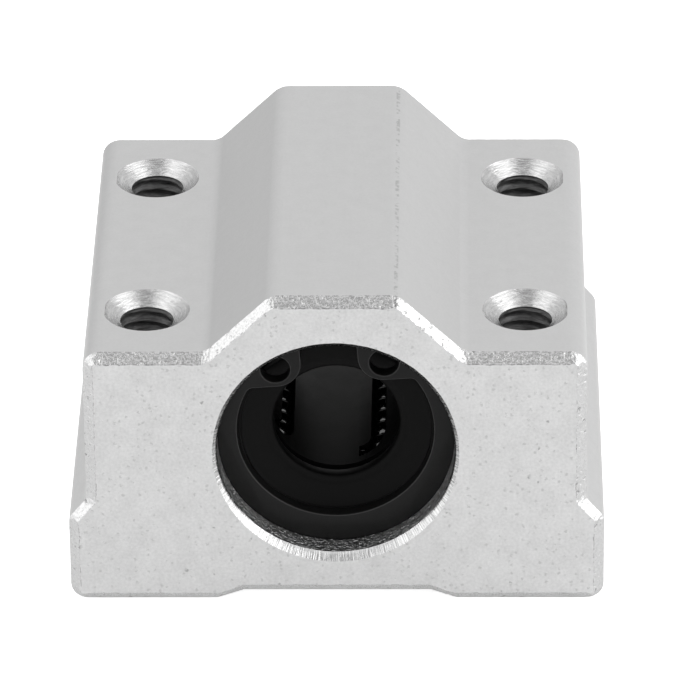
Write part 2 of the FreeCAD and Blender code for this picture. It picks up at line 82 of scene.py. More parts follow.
class Wiring:
    """Adds nodes to one node tree and links them."""

    def __init__(self, tree: bpy.types.NodeTree) -> None:
        """Starts on the emptied tree of a material, a world or a group."""
        self.tree = tree
        tree.nodes.clear()

    def add(self, kind: str, inputs: dict | None = None, **settings) -> bpy.types.Node:
        """Adds a node.

        Args:
            kind: The node's type, without the ShaderNode prefix.
            inputs: Values or sockets for its inputs, by name or number.
            **settings: Attributes of the node itself.

        Returns:
            The node.
        """
        node = self.tree.nodes.new(f"ShaderNode{kind}")
        for name, setting in settings.items():
            setattr(node, name, setting)
        for name, value in (inputs or {}).items():
            self.feed(node.inputs[name], value)
        return node

    def feed(self, target: Socket, value: object) -> None:
        """Links a socket to an input, or sets the input's own value."""
        if isinstance(value, bpy.types.NodeSocket):
            self.tree.links.new(value, target)
            return
        if isinstance(value, tuple) and len(value) == 3 and target.type == "RGBA":
            value = (*value, 1.0)
        target.default_value = value

    def calc(self, operation: str, *values: object) -> Socket:
        """The result of a Math node."""
        return self.add("Math", dict(enumerate(values)), operation=operation).outputs[0]

    def vector(self, operation: str, *values: object) -> Socket:
        """The vector result of a Vector Math node."""
        return self.add("VectorMath", dict(enumerate(values)), operation=operation).outputs["Vector"]

    def spread(self, value: Socket, low: object, high: object, to_low: object = 0.0,
               to_high: object = 1.0) -> Socket:
        """Maps a value's range onto another, clamped."""
        ranges = {"Value": value, "From Min": low, "From Max": high,
                  "To Min": to_low, "To Max": to_high}
        return self.add("MapRange", ranges).outputs["Result"]

    def mix(self, factor: object, first: object, second: object) -> Socket:
        """Blends two colours, which a Mix node has as its inputs 6 and 7 and its output 2."""
        node = self.add("Mix", {0: factor, 6: first, 7: second}, data_type="RGBA")
        return node.outputs[2]


class Group(Wiring):
    """A shader node group with named inputs and outputs, built once and placed many times."""

    def __init__(self, name: str, inputs: dict[str, float | None], outputs: tuple[str, ...]) -> None:
        """Makes the group's sockets.

        Args:
            name: The group's name.
            inputs: Each input's name and default number, or None for a vector.
            outputs: The names of its outputs, which are all numbers.
        """
        tree = bpy.data.node_groups.new(name, "ShaderNodeTree")
        super().__init__(tree)
        for label, default in inputs.items():
            kind = "NodeSocketVector" if default is None else "NodeSocketFloat"
            socket = tree.interface.new_socket(label, in_out="INPUT", socket_type=kind)
            if default is not None:
                socket.default_value = default
        for label in outputs:
            tree.interface.new_socket(label, in_out="OUTPUT", socket_type="NodeSocketFloat")
        self.inside = tree.nodes.new("NodeGroupInput").outputs
        self.result = tree.nodes.new("NodeGroupOutput").inputs

    def give_noise(self, height: Socket) -> bpy.types.NodeTree:
        """Puts out a noise as a height, and spread from 0 to 1 as a tone, and gives the group."""
        self.feed(self.result["Height"], height)
        self.feed(self.result["Tone"], self.spread(height, *NOISE_RANGE))
        return self.tree


class Effects:
    """The surface effects that the finishes share, each a node group."""

    def __init__(self) -> None:
        """Builds every group once."""
        self.grain = self.build_grain()
        self.specks = self.build_specks()
        self.turned = self.build_turned()
        self.drawn = self.build_drawn()

    def build_grain(self) -> bpy.types.NodeTree:
        """A blasted or moulded grain: a coarse and a fine noise, mixed."""
        group = Group("fine_grain", {"Vector": None, "Coarse": 900.0, "Fine": 5000.0, "Share": 0.5},
                      ("Tone", "Height"))
        place = group.inside["Vector"]
        coarse = group.add("TexNoise", {"Vector": place, "Scale": group.inside["Coarse"],
                                        "Detail": 3.0, "Roughness": 0.55})
        fine = group.add("TexNoise", {"Vector": place, "Scale": group.inside["Fine"],
                                      "Detail": 2.0, "Roughness": 0.6})
        share = group.inside["Share"]
        fine_part = group.calc("MULTIPLY", fine.outputs[0], share)
        coarse_part = group.calc("MULTIPLY", coarse.outputs[0], group.calc("SUBTRACT", 1.0, share))
        return group.give_noise(group.calc("ADD", fine_part, coarse_part))

    def build_specks(self) -> bpy.types.NodeTree:
        """Scattered pits: in a share of the cells of a Voronoi pattern, a spot of uneven outline."""
        group = Group("pits", {"Vector": None, "Scale": 900.0, "Amount": 0.1, "Size": 0.2}, ("Mask",))
        place = group.inside["Vector"]
        scale = group.inside["Scale"]
        ragged = group.add("TexNoise", {"Vector": place, "Scale": group.calc("MULTIPLY", scale, 3.0)})
        shift = group.vector("SCALE", ragged.outputs["Color"])
        shift.node.inputs["Scale"].default_value = SPECK_SHIFT
        cells = group.add("TexVoronoi", {"Vector": group.vector("ADD", place, shift), "Scale": scale})
        chance = group.add("SeparateColor", {"Color": cells.outputs["Color"]}).outputs
        picked = group.calc("LESS_THAN", chance[0], group.inside["Amount"])
        reach = group.calc("MULTIPLY", group.inside["Size"], group.calc("ADD", chance[1], SPECK_LEAST))
        spot = group.spread(cells.outputs["Distance"], reach, group.calc("MULTIPLY", reach, SPECK_CORE))
        group.feed(group.result["Mask"], group.calc("MULTIPLY", spot, picked))
        return group.tree

    def build_turned(self) -> bpy.types.NodeTree:
        """The marks of a turning tool: noise stretched round an axis, which is the vector's own Z."""
        group = Group("turned_marks", {"Vector": None, "Around": 8.0, "Along": 8000.0}, ("Tone", "Height"))
        parts = group.add("SeparateXYZ", {0: group.inside["Vector"]}).outputs
        flat = group.add("CombineXYZ", {"X": parts["X"], "Y": parts["Y"]}).outputs[0]
        reach = group.add("VectorMath", {0: flat}, operation="LENGTH").outputs["Value"]
        turn = group.add("SeparateXYZ", {0: group.vector("NORMALIZE", flat)}).outputs
        profile = group.calc("ADD", reach, group.calc("ABSOLUTE", parts["Z"]))
        place = {axis: group.calc("MULTIPLY", turn[axis], group.inside["Around"]) for axis in "XY"}
        place["Z"] = group.calc("MULTIPLY", profile, group.inside["Along"])
        marks = group.add("TexNoise", {"Vector": group.add("CombineXYZ", place).outputs[0], "Scale": 1.0,
                                       "Detail": 3.0, "Roughness": 0.6, "Distortion": 0.4})
        return group.give_noise(marks.outputs[0])

    def build_drawn(self) -> bpy.types.NodeTree:
        """Faint lines along Y, as an extrusion die or a drawing die leaves them."""
        group = Group("drawn_lines", {"Vector": None, "Scale": 1500.0, "Stretch": 0.03}, ("Tone", "Height"))
        parts = group.add("SeparateXYZ", {0: group.inside["Vector"]}).outputs
        along = group.calc("MULTIPLY", parts["Y"], group.inside["Stretch"])
        place = group.add("CombineXYZ", {"X": parts["X"], "Y": along, "Z": parts["Z"]}).outputs[0]
        lines = group.add("TexNoise", {"Vector": place, "Scale": group.inside["Scale"], "Detail": 3.0})
        return group.give_noise(lines.outputs[0])


# Finishes

class MaterialSheet(Wiring):
    """The emptied node tree of a new material."""

    def __init__(self, name: str) -> None:
        """Makes the material, with the given name."""
        self.material = bpy.data.materials.new(name)
        self.material.use_nodes = True
        super().__init__(self.material.node_tree)

    def cover(self, shader: bpy.types.Node) -> bpy.types.Material:
        """Makes a shader the surface of the material, and gives the material."""
        self.add("OutputMaterial", {"Surface": shader.outputs[0]})
        return self.material


class FinishSheet(MaterialSheet):
    """A finish's node tree, which places the shared effects on the piece."""

    def __init__(self, name: str) -> None:
        """Makes the material and its Object coordinates."""
        super().__init__(name)
        self.place = self.add("TexCoord").outputs["Object"]

    def effect(self, tree: bpy.types.NodeTree, place: Socket | None = None, **inputs) -> Outputs:
        """Places a shared effect with this material's own values.

        Args:
            tree: The effect.
            place: Its coordinates, or None for the piece's own.
            **inputs: Its other values.

        Returns:
            The effect's outputs.
        """
        vector = self.place if place is None else place
        return self.add("Group", {"Vector": vector, **inputs}, node_tree=tree).outputs


@dataclass(frozen=True)
class Specks:
    """Pits, flecks or dust: spots in a share of the cells of a pattern."""

    scale: float
    amount: float
    size: float
    colour: float
    depth: float = 0.0


@dataclass(frozen=True)
class Finish:
    """A neutral finish whose colour, roughness and height vary with one grain, under its specks."""

    name: str
    colour: float
    roughness: float
    metallic: float = 1.0
    specular: float = 0.5
    edge_tint: float = 1.0
    tones: tuple[float, float] = (0.95, 1.05)
    gloss: tuple[float, float] = (1.0, 1.0)
    coarse: float = 900.0
    fine: float = 5000.0
    fine_share: float = 0.5
    specks: tuple[Specks, ...] = ()
    bump: float = 0.004 * MM

    def build(self, effects: Effects) -> bpy.types.Material:
        """Makes the material.

        Args:
            effects: The shared effects.

        Returns:
            The material.
        """
        sheet = FinishSheet(self.name)
        grain = sheet.effect(effects.grain, Coarse=self.coarse, Fine=self.fine, Share=self.fine_share)
        colour, height = self.paint(sheet, effects, grain)
        low, high = (self.roughness * share for share in self.gloss)
        bump = sheet.add("Bump", {"Height": height, "Distance": self.bump, "Strength": 1.0})
        return sheet.cover(sheet.add("BsdfPrincipled", {
            "Base Color": colour,
            "Metallic": self.metallic,
            "Roughness": sheet.spread(grain["Tone"], 0.0, 1.0, low, high),
            "Specular IOR Level": self.specular,
            "Specular Tint": grey(self.edge_tint),
            "Normal": bump.outputs[0],
        }))

    def paint(self, sheet: FinishSheet, effects: Effects, grain: Outputs) -> tuple[Socket, Socket]:
        """The colour and the height that the finish makes of its grain and specks."""
        colour, height = self.toned(sheet, grain["Tone"]), grain["Height"]
        for specks in self.specks:
            mask = sheet.effect(effects.specks, Scale=specks.scale, Amount=specks.amount,
                                Size=specks.size)["Mask"]
            colour = sheet.mix(mask, colour, grey(specks.colour))
            if specks.depth:
                height = sheet.calc("SUBTRACT", height, sheet.calc("MULTIPLY", mask, specks.depth))
        return colour, height

    def toned(self, sheet: FinishSheet, tone: Socket) -> Socket:
        """The colour, darker and lighter with a tone."""
        low, high = (grey(self.colour * share) for share in self.tones)
        return sheet.mix(tone, low, high)

    def marked(self, sheet: FinishSheet, colour: Socket, mask: Socket, share: float) -> Socket:
        """A colour that turns, where a mask is 1, into a share of the plain one."""
        return sheet.mix(mask, colour, grey(self.colour * share))


@dataclass(frozen=True)
class Aluminium(Finish):
    """Anodised aluminium, extruded or blasted: an even grey with grain, pits and drawn lines."""

    gloss: tuple[float, float] = (1.1, 0.9)
    # Edges painted darker in broken dots where the edge mask is set: burred chamfer borders with painted
    # shade along them, and a darker line along the boss's right top edge.
    edge_darkening: float = 0.0
    edge_darkening_scale: float = 1800.0
    edge_darkening_reach: tuple[float, float] = (0.25, 0.9)
    edge_darkening_breaks: tuple[float, float] = (0.45, 0.7)
    edge_darkening_share: float = 0.15
    lines: float = 0.0
    line_dark: float = 0.8

    def paint(self, sheet: FinishSheet, effects: Effects, grain: Outputs) -> tuple[Socket, Socket]:
        """The plain finish's colour and height, with the drawn lines and the darkened edges that are asked
        for.
        """
        colour, height = super().paint(sheet, effects, grain)
        if self.lines:
            amount = sheet.calc("MULTIPLY", sheet.effect(effects.drawn)["Tone"], self.lines)
            colour = self.marked(sheet, colour, amount, self.line_dark)
        # Darker dotted edges: burred chamfer borders with painted edge shade along them, and a darker line on
        # the boss edge.
        if self.edge_darkening:
            marks = sheet.add("Attribute", attribute_name=DARK_EDGE_MASK).outputs["Fac"]
            broken = sheet.effect(effects.grain, Coarse=self.edge_darkening_scale, Fine=self.edge_darkening_scale * 2)["Tone"]
            near = sheet.spread(marks, *self.edge_darkening_reach)
            dots = sheet.spread(broken, *self.edge_darkening_breaks)
            amount = sheet.calc("MULTIPLY", sheet.calc("MULTIPLY", near, dots), self.edge_darkening)
            colour = self.marked(sheet, colour, amount, self.edge_darkening_share)
        return colour, height


@dataclass(frozen=True)
class CutMetal(Finish):
    """Metal with the marks of a turning or boring tool, round an axis of its own; on the tapped thread, light
    arcs in these marks are painted highlights.
    """

    tones: tuple[float, float] = (0.9, 1.1)
    gloss: tuple[float, float] = (0.8, 1.2)
    fine: float = 4000.0
    fine_share: float = 0.8
    around: float = 8.0
    along: float = 4000.0
    mirrored: bool = False
    centre: tuple[float, float, float] = SHAFT
    turn: tuple[float, float, float] = (math.pi / 2, 0.0, 0.0)
    grain_bump: float = 0.0
    grain_tone: float = 0.0
    grain_dark: float = 0.2

    def paint(self, sheet: FinishSheet, effects: Effects, grain: Outputs) -> tuple[Socket, Socket]:
        """The tool marks' colour and height, with the grain over them."""
        place = sheet.vector("ABSOLUTE", sheet.place) if self.mirrored else sheet.place
        moved = sheet.vector("SUBTRACT", place, self.centre)
        turned = sheet.add("Mapping", {"Vector": moved, "Rotation": self.turn}).outputs[0]
        marks = sheet.effect(effects.turned, turned, Around=self.around, Along=self.along)
        colour = self.toned(sheet, marks["Tone"])
        if self.grain_tone:
            amount = sheet.calc("MULTIPLY", grain["Tone"], self.grain_tone)
            colour = self.marked(sheet, colour, amount, self.grain_dark)
        extra = sheet.calc("MULTIPLY", grain["Height"], self.grain_bump / self.bump)
        return colour, sheet.calc("ADD", marks["Height"], extra)


@dataclass(frozen=True)
class Dark(Finish):
    """A dark coated steel, rubber or plastic: grain, faint dust and a low plain gloss."""

    metallic: float = 0.0
    specular: float = 0.3
    tones: tuple[float, float] = (0.75, 1.25)
    gloss: tuple[float, float] = (0.85, 1.15)
    coarse: float = 700.0
    specks: tuple[Specks, ...] = (Specks(900.0, 0.04, 0.12, colour=0.08),)


@dataclass(frozen=True)
class Bright(Finish):
    """Bare steel, ground or polished, with a faint smear of oil."""

    tones: tuple[float, float] = (0.9, 1.05)
    gloss: tuple[float, float] = (1.0, 1.5)
    coarse: float = 600.0
    fine_share: float = 0.3
    bump: float = 0.0005 * MM


# Mesh helpers

def link_object(name: str, data: bpy.types.ID) -> bpy.types.Object:
    """Puts an object with the given data into the scene."""
    placed = bpy.data.objects.new(name, data)
    bpy.context.scene.collection.objects.link(placed)
    return placed


def link_mesh(bm: BMesh, name: str, materials: Iterable[bpy.types.Material]) -> bpy.types.Object:
    """Turns a bmesh into an object of the scene.

    Args:
        bm: The shape, which is freed.
        name: The object's name.
        materials: Its materials, by material index.

    Returns:
        The object.
    """
    mesh = bpy.data.meshes.new(name)
    bm.to_mesh(mesh)
    bm.free()
    for material in materials:
        mesh.materials.append(material)
    return link_object(name, mesh)


def make_piece(bm: BMesh, name: str, materials: Iterable[bpy.types.Material],
               nodes: Iterable[str]) -> None:
    """Turns a bmesh into a finished piece on the block's only body.

    Args:
        bm: The shape, which is freed.
        name: The piece's name.
        materials: Its materials, by material index.
        nodes: The nodes of the model that it stands for.
    """
    piece = link_mesh(bm, name, materials)
    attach(piece, BODY)
    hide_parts(*nodes)
    log.info("%s: %d faces", name, len(piece.data.polygons))


def node_copy(node: str) -> BMesh:
    """A bmesh of a node of the model, whose triangles share their vertices."""
    bm = bmesh.new()
    bm.from_mesh(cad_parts[node].data)
    bmesh.ops.remove_doubles(bm, verts=bm.verts, dist=SAME_PLACE)
    return bm


def merged_copy(node: str) -> BMesh:
    """A bmesh of a node of the model, with its triangles joined into whole faces."""
    bm = node_copy(node)
    bmesh.ops.dissolve_limit(bm, angle_limit=SAME_SLOPE, verts=bm.verts, edges=bm.edges)
    return bm


def smooth_by_angle(bm: BMesh) -> None:
    """Shades every face smooth, apart from edges where the surface turns sharply."""
    bm.normal_update()
    for face in bm.faces:
        face.smooth = True
    for edge in bm.edges:
        edge.smooth = edge.is_manifold and edge.calc_face_angle(0.0) < SHARP_ANGLE


def turn_profile(bm: BMesh, profile: list[Point], centre: Vector, axis: Vector, side: Vector,
                 steps: int) -> list[BMVert]:
    """Turns an open profile once round an axis.

    Args:
        bm: Where the surface is made.
        profile: Points as (distance along the axis, radius).
        centre: Where the axis has its zero.
        axis: The axis's direction.
        side: The direction in which the profile is drawn.
        steps: How many flat strips the turn has.

    Returns:
        The vertices of the surface.
    """
    before = set(bm.verts)
    verts = [bm.verts.new(centre + axis * along + side * radius) for along, radius in profile]
    edges = [bm.edges.new(pair) for pair in zip(verts, verts[1:])]
    bmesh.ops.spin(bm, geom=verts + edges, cent=centre, axis=axis, angle=math.tau, steps=steps,
                   use_merge=True)
    return [vert for vert in bm.verts if vert not in before]


def spaced(start: Point, end: Point, rows: int) -> list[Point]:
    """Points along a straight line of a profile, from its start to just before its end."""
    (y1, r1), (y2, r2) = start, end
    return [(y1 + (y2 - y1) * row / rows, r1 + (r2 - r1) * row / rows) for row in range(rows)]


def fill_flat(bm: BMesh, rims: list[BMEdge], normal: Vector) -> None:
    """Fills the flat area between an outer rim and the rims of holes.

    Args:
        bm: Where the faces are made.
        rims: The edges of every rim, in one plane.
        normal: The plane's normal.
    """
    verts = list(dict.fromkeys(vert for edge in rims for vert in edge.verts))
    number = {vert: index for index, vert in enumerate(verts)}
    across = normal.orthogonal().normalized()
    up = normal.cross(across)
    flat = [Vector((vert.co.dot(across), vert.co.dot(up))) for vert in verts]
    pairs = [tuple(number[vert] for vert in edge.verts) for edge in rims]
    found = geometry.delaunay_2d_cdt(flat, pairs, [], INSIDE_RIMS, SAME_PLACE * MM)
    triangles, sources = found[2], found[3]
    segments = [(flat[first], flat[second]) for first, second in pairs]
    for triangle in triangles:
        corners = [sources[corner][0] for corner in triangle]
        middle = sum((flat[corner] for corner in corners), Vector((0.0, 0.0))) / 3
        if lies_within(middle, segments):
            bm.faces.new([verts[corner] for corner in corners])


def lies_within(spot: Vector, segments: list[tuple[Vector, Vector]]) -> bool:
    """Whether a flat point lies between closed rims.

    Args:
        spot: The point.
        segments: The straight parts of every rim.

    Returns:
        True where an odd number of rims lies to its right.
    """
    crossed = 0
    for first, second in segments:
        if (first.y > spot.y) != (second.y > spot.y):
            share = (spot.y - first.y) / (second.y - first.y)
            crossed += first.x + share * (second.x - first.x) > spot.x
    return crossed % 2 == 1


# Housing

class Surface(Enum):
    """The housing's differently finished surfaces, by material index."""

    EXTRUDED = 0
    END_FACE = 1
    END_CHAMFER = 2
    COUNTERSINK = 3
    THREAD = 4
    MOUTH = 5
    BORE = 6


@dataclass(frozen=True)
class Corner:
    """A corner of the housing's end view, with the radius that rounds it."""

    x: float
    z: float
    radius: float = 0.0


@dataclass(frozen=True)
class Wave:
    """A wave of smooth noise that makes an edge or a surface uneven."""

    length: float
    share: float = 1.0
    shift: tuple[float, float, float] = (0.0, 0.0, 0.0)


def unevenness(spot: Vector, waves: Iterable[Wave]) -> float:
    """The sum of some waves at a point."""
    return sum(wave.share * noise.noise(spot / wave.length + Vector(wave.shift)) for wave in waves)


@dataclass
class Housing:
    """The aluminium block: an extrusion with ragged end chamfers, a bore and four tapped holes."""

    half_length: float = 15.0 * MM
    half_width: float = 17.0 * MM
    height: float = 22.0 * MM
    half_body: float = 15.85 * MM
    side_height: float = 5.95 * MM
    shoulder_rise: float = 1.4 * MM
    flange_height: float = 18.0 * MM
    half_boss: float = 3.95 * MM
    half_slope: float = 8.1 * MM
    half_recess: float = 5.95 * MM
    half_feet_gap: float = 7.63 * MM
    recess_depth: float = 0.6 * MM
    boss_round: float = 1.3 * MM
    valley_round: float = 1.0 * MM
    flange_round: float = 1.2 * MM
    shoulder_round: float = 0.8 * MM
    foot_round: float = 1.1 * MM
    corner_segments: int = 8
    widest_strip: float = 0.6 * MM
    strip_corners: int = 12
    flatness: float = 0.002 * MM
    margin: float = 0.01 * MM

    end_chamfer: float = 0.58 * MM
    chamfer_step: float = 0.1 * MM
    chamfer_rows: int = 8
    chamfer_slant: tuple[float, float] = (0.4, 0.95)
    chamfer_lean: float = 0.25
    chamfer_grain: float = 0.03 * MM
    chamfer_waves: tuple[Wave, ...] = (Wave(0.16 * MM), Wave(0.4 * MM, 0.6, (0.0, 5.0, 0.0)))
    chamfer_unevenness: float = 0.1 * MM
    chamfer_swings: int = 4
    ragged_edge: float = 0.05 * MM
    ragged_side_edge: float = 0.035 * MM
    edge_waves: tuple[Wave, ...] = (Wave(0.55 * MM), Wave(0.2 * MM, 0.8, (7.0, 0.0, 0.0)))
    # Where a darker broken line is painted along the boss's right top edge, and how wide it is.
    dark_line_edge: float = 3.85 * MM
    dark_line_reach: float = 0.07 * MM

    bore_radius: float = 7.51 * MM
    mouth_chamfer: float = 0.42 * MM
    mouth_rows: int = 5
    mouth_side: float = 0.67
    mouth_drop: float = 0.12
    mouth_swell: float = 0.36
    mouth_chatter: float = 0.02 * MM
    mouth_waves: tuple[Wave, ...] = (Wave(0.5 * MM), Wave(0.18 * MM, 0.6))
    mouth_room: float = 0.1 * MM
    wall_rows: int = 4
    groove_depth: float = 0.35 * MM
    groove_start: float = 12.0 * MM
    groove_end: float = 13.1 * MM
    bore_steps: int = 360

    hole_radius: float = 1.7 * MM
    hole_steps: int = 72
    hole_turn: float = 0.016
    countersink_radius: float = 2.75 * MM
    countersink_slope: float = math.radians(55)
    countersink_rows: int = 9
    countersink_chatter: float = 0.008 * MM
    countersink_waves: tuple[Wave, ...] = (Wave(0.3 * MM),)
    thread_radius: float = 1.9 * MM
    thread_pitch: float = 0.7 * MM
    thread_length: float = 8.0 * MM
    thread_flank: float = 0.4
    thread_land: float = 0.03 * MM
    thread_run_in: float = 0.1 * MM
    thread_rows: int = 8

    bm: BMesh = field(init=False, repr=False)

    def build(self, materials: list[bpy.types.Material]) -> None:
        """Makes the housing as one closed mesh.

        Args:
            materials: One material for each Surface, in its order.
        """
        self.bm = bmesh.new()
        self.extrude_outline()
        self.round_corners()
        for end in (-1, 1):
            self.chamfer_end(end * self.half_length)
        self.open_pierced_faces()
        self.turn_bore()
        places = [(-1, -1), (-1, 1), (1, -1), (1, 1)]
        for number, (across, along) in enumerate(places, start=1):
            self.turn_hole(across * HOLE[0], along * HOLE[1], number * self.hole_turn)
        self.close_pierced_faces()
        bmesh.ops.recalc_face_normals(self.bm, faces=self.bm.faces)
        self.finish_surfaces()
        self.mark_edges()
        make_piece(self.bm, "block_housing", materials, ["housing"])

    def corners(self) -> list[Corner]:
        """The end view of the block, anticlockwise from the middle of its underside."""
        shoulder_top = self.side_height + self.shoulder_rise
        right = [
            Corner(self.half_recess, self.recess_depth),
            Corner(self.half_feet_gap, 0.0),
            Corner(self.half_width, 0.0, self.foot_round),
            Corner(self.half_width, self.side_height, self.shoulder_round),
            Corner(self.half_body, shoulder_top, self.shoulder_round),
            Corner(self.half_body, self.flange_height, self.flange_round),
            Corner(self.half_slope, self.flange_height, self.valley_round),
            Corner(self.half_boss, self.height, self.boss_round),
        ]
        return right + [Corner(-corner.x, corner.z, corner.radius) for corner in reversed(right)]

    def extrude_outline(self) -> None:
        """Draws the end view at the front and extrudes it to the rear."""
        bm = self.bm
        verts = [bm.verts.new((corner.x, -self.half_length, corner.z)) for corner in self.corners()]
        made = bmesh.ops.extrude_face_region(bm, geom=[bm.faces.new(verts)])["geom"]
        moved = [item for item in made if isinstance(item, BMVert)]
        bmesh.ops.translate(bm, vec=(0.0, 2 * self.half_length, 0.0), verts=moved)
        bmesh.ops.recalc_face_normals(bm, faces=bm.faces)

    def round_corners(self) -> None:
        """Rounds the long edges, each with its own radius."""
        corners = self.corners()
        for number, corner in enumerate(corners):
            if not corner.radius:
                continue
            before = corners[number - 1]
            after = corners[(number + 1) % len(corners)]
            incoming = Vector((corner.x - before.x, corner.z - before.z))
            outgoing = Vector((after.x - corner.x, after.z - corner.z))
            reach = corner.radius * math.tan(incoming.angle(outgoing) / 2)
            edges = [edge for edge in self.bm.edges if self.runs_along(edge, corner)]
            bmesh.ops.bevel(self.bm, geom=edges, offset=reach, offset_type="OFFSET", affect="EDGES",
                            segments=self.corner_segments, profile=0.5, material=-1)

    def runs_along(self, edge: BMEdge, corner: Corner) -> bool:
        """Whether an edge runs along Y through a corner of the end view."""
        spot = Vector((corner.x, corner.z))
        return all((vert.co.xz - spot).length < SAME_PLACE for vert in edge.verts)

    def chamfer_end(self, plane: float) -> None:
        """Chamfers one end, and divides the chamfer finely and roughens it.

        Args:
            plane: The Y of the end.
        """
        bm = self.bm
        rim = [edge for edge in bm.edges if all(abs(v.co.y - plane) < SAME_PLACE for v in edge.verts)]
        made = bmesh.ops.bevel(bm, geom=rim, offset=self.end_chamfer, offset_type="OFFSET",
                               affect="EDGES", segments=1, profile=0.5, material=-1)
        for face in list(made["faces"]):
            sides = [edge for edge in face.edges if abs(edge.verts[0].co.y - edge.verts[1].co.y) < SAME_PLACE]
            cuts = round(max(edge.calc_length() for edge in sides) / self.chamfer_step) - 1
            if cuts > 0:
                bmesh.ops.subdivide_edges(bm, edges=sides, cuts=cuts)
        crossing = [edge for edge in bm.edges if self.crosses_chamfer(edge, plane)]
        bmesh.ops.subdivide_edges(bm, edges=crossing, cuts=self.chamfer_rows - 1)
        self.roughen_chamfer(plane)

    def crosses_chamfer(self, edge: BMEdge, plane: float) -> bool:
        """Whether an edge runs across the chamfer beside an end plane."""
        depths = sorted(abs(vert.co.y - plane) for vert in edge.verts)
        return depths[0] < SAME_PLACE and abs(depths[1] - self.end_chamfer) < SAME_PLACE

    def roughen_chamfer(self, plane: float) -> None:
        """Moves a chamfer's vertices: grain on its surface, and ragged borders within their faces.

        Args:
            plane: The Y of the end.
        """
        self.bm.normal_update()
        least, most = self.chamfer_slant
        moves = {}
        for vert in self.bm.verts:
            depth = abs(vert.co.y - plane)
            slanted = [face.normal for face in vert.link_faces if least < abs(face.normal.y) < most]
            if slanted and depth < self.end_chamfer + SAME_PLACE:
                normal = sum(slanted, Vector()).normalized()
                moves[vert] = self.chamfer_move(vert.co, normal, depth)
        for vert, move in moves.items():
            vert.co += move

    def chamfer_move(self, spot: Vector, normal: Vector, depth: float) -> Vector:
        """How far one vertex of a chamfer moves.

        Args:
            spot: The vertex.
            normal: The chamfer's normal there.
            depth: Its distance from the end plane.

        Returns:
            The move.
        """
        waves = unevenness(spot, self.edge_waves)
        outward = Vector((normal.x, 0.0, normal.z)).normalized()
        swing = math.cos(self.chamfer_swings * math.atan2(outward.x, outward.z))
        leaning = outward * (-swing * (1 - depth / self.end_chamfer) * self.chamfer_unevenness)
        if depth < SAME_PLACE:
            return leaning + outward * (waves * self.ragged_edge)
        if depth > self.end_chamfer - SAME_PLACE:
            return Vector((0.0, math.copysign(waves * self.ragged_side_edge, spot.y), 0.0))
        return leaning + normal * (unevenness(spot, self.chamfer_waves) * self.chamfer_grain)

    def pierced_planes(self) -> list[tuple[Callable[[Vector], bool], Vector]]:
        """Tests for the six flat faces that a bore or holes go through, with the faces' normals."""
        def end(side: int) -> Callable[[Vector], bool]:
            """The test for an end face."""
            return lambda spot: abs(spot.y - side * self.half_length) < self.flatness

        def flat(z: float, side: int) -> Callable[[Vector], bool]:
            """The test for a flat at a height, to one side of the shaft."""
            return lambda spot: abs(spot.z - z) < self.flatness and spot.x * side > 0

        planes = [(end(side), ALONG * side) for side in (-1, 1)]
        planes += [(flat(self.flange_height, side), UP) for side in (1, -1)]
        return planes + [(flat(0.0, side), -UP) for side in (1, -1)]

    def open_pierced_faces(self) -> None:
        """Takes out the flat faces that the bore and the holes go through."""
        for within, _ in self.pierced_planes():
            faces = [face for face in self.bm.faces if all(within(vert.co) for vert in face.verts)]
            bmesh.ops.delete(self.bm, geom=faces, context="FACES_ONLY")
        loose = [edge for edge in self.bm.edges if edge.is_wire]
        bmesh.ops.delete(self.bm, geom=loose, context="EDGES")

    def close_pierced_faces(self) -> None:
        """Fills those faces again, round the mouths of the bore and the holes."""
        for within, normal in self.pierced_planes():
            open_edges = [edge for edge in self.bm.edges if edge.is_boundary]
            rims = [edge for edge in open_edges if all(within(vert.co) for vert in edge.verts)]
            fill_flat(self.bm, rims, normal)

    def turn_bore(self) -> None:
        """Turns the bore: chamfered mouths, seat and circlip grooves, with chatter on the mouths."""
        mouth = (self.half_length, self.bore_radius + self.mouth_chamfer)
        wall = (self.half_length - self.mouth_chamfer, self.bore_radius)
        floor = self.bore_radius + self.groove_depth
        half = spaced(mouth, wall, self.mouth_rows)
        half += spaced(wall, (self.groove_end, self.bore_radius), self.wall_rows)
        half += [(self.groove_end, self.bore_radius), (self.groove_end, floor),
                 (self.groove_start, floor), (self.groove_start, self.bore_radius)]
        profile = [(-along, radius) for along, radius in half] + list(reversed(half))
        centre = Vector(SHAFT)
        for vert in turn_profile(self.bm, profile, centre, ALONG, UP, self.bore_steps):
            depth = self.half_length - abs(vert.co.y)
            if depth < self.mouth_chamfer - SAME_PLACE:
                vert.co = self.uneven_mouth(vert.co, centre, depth / self.mouth_chamfer)

    def uneven_mouth(self, spot: Vector, centre: Vector, share: float) -> Vector:
        """Where a point of the even mouth chamfer lies on the real one, which is widest below.

        Args:
            spot: The point.
            centre: A point on the bore's axis.
            share: How far it is down the chamfer, from 0 at the end face to 1 in the bore.

        Returns:
            The point's new place.
        """
        outward = ((spot - centre) * Vector((1, 0, 1))).normalized()
        rise = outward.z
        width = self.mouth_chamfer * (self.mouth_side - self.mouth_drop * rise + self.mouth_swell * rise ** 2)
        wave = unevenness(spot, self.mouth_waves)
        radius = self.bore_radius + (1 - share) * (width + wave * self.mouth_chatter)
        along = math.copysign(self.half_length - share * width, spot.y)
        return Vector((outward.x * radius, along, centre.z + outward.z * radius))

